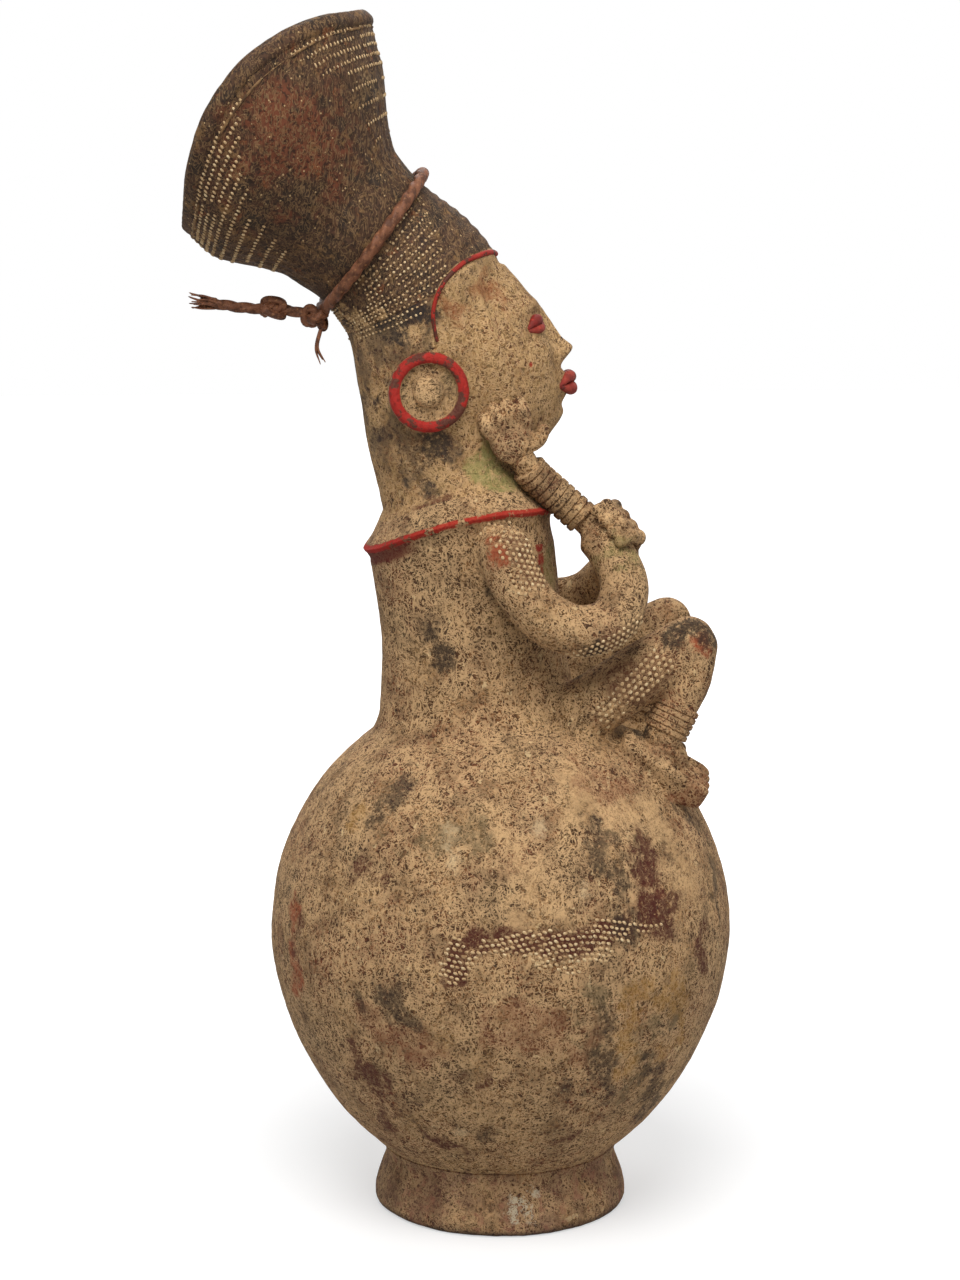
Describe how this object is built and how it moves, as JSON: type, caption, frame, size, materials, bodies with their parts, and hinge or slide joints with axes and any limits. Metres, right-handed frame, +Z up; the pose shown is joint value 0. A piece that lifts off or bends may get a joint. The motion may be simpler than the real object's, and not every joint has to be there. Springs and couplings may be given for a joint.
{
  "type": "anthropomorphic vessel",
  "caption": "Fired-clay jar with a round globe on a flared foot, a seated figure as its neck and a leaning, flared coiffure as its open mouth, with a twisted cord tied round it.",
  "frame": {"origin": "on the ground, under the middle of the whole jar without its free cord end; the middle of the foot is 19.3 mm in front of it", "axes": "+Z up; the figure looks along -Y, the coiffure leans towards +Y, and the figure's right side is at -X"},
  "size_m": [0.226, 0.2646, 0.581],
  "materials": {
    "crust_clay": "ochre fired clay under a dry crust with dark pits and pale fibres",
    "hair_clay": "dark brown burnished clay with rows of pale impressed dots",
    "red_paint": "worn brick-red paint on clay",
    "foot_clay": "reddish grey-brown clay, speckled and worn",
    "cord": "dry reddish-brown twisted hide cord"
  },
  "bodies": {
    "root": {"foot_ring": "foot_clay", "globe_lower": "crust_clay", "globe_upper": "crust_clay", "torso": "crust_clay", "collar": "crust_clay", "neck": "crust_clay", "head": "crust_clay", "coiffure": "hair_clay", "coiffure_rim": "hair_clay", "hairline_roll": "red_paint", "nose": "crust_clay", "upper_lip": "red_paint", "lower_lip": "red_paint", "right_ear_ring": "red_paint", "right_ear_boss": "crust_clay", "right_upper_eyelid": "red_paint", "right_lower_eyelid": "red_paint", "left_ear_ring": "red_paint", "left_ear_boss": "crust_clay", "left_upper_eyelid": "red_paint", "left_lower_eyelid": "red_paint", "right_arm": "crust_clay", "right_bracelets": "crust_clay", "right_hand": "crust_clay", "left_arm": "crust_clay", "left_hand": "crust_clay", "right_leg": "crust_clay", "right_anklets": "crust_clay", "right_foot": "crust_clay", "left_leg": "crust_clay", "left_anklets": "crust_clay", "left_foot": "crust_clay", "cord_loop": "cord", "cord_knot": "cord", "cord_wisp": "cord", "cord_tail": "cord", "tail_knot": "cord", "frayed_end": "cord"}
  },
  "joints": []
}
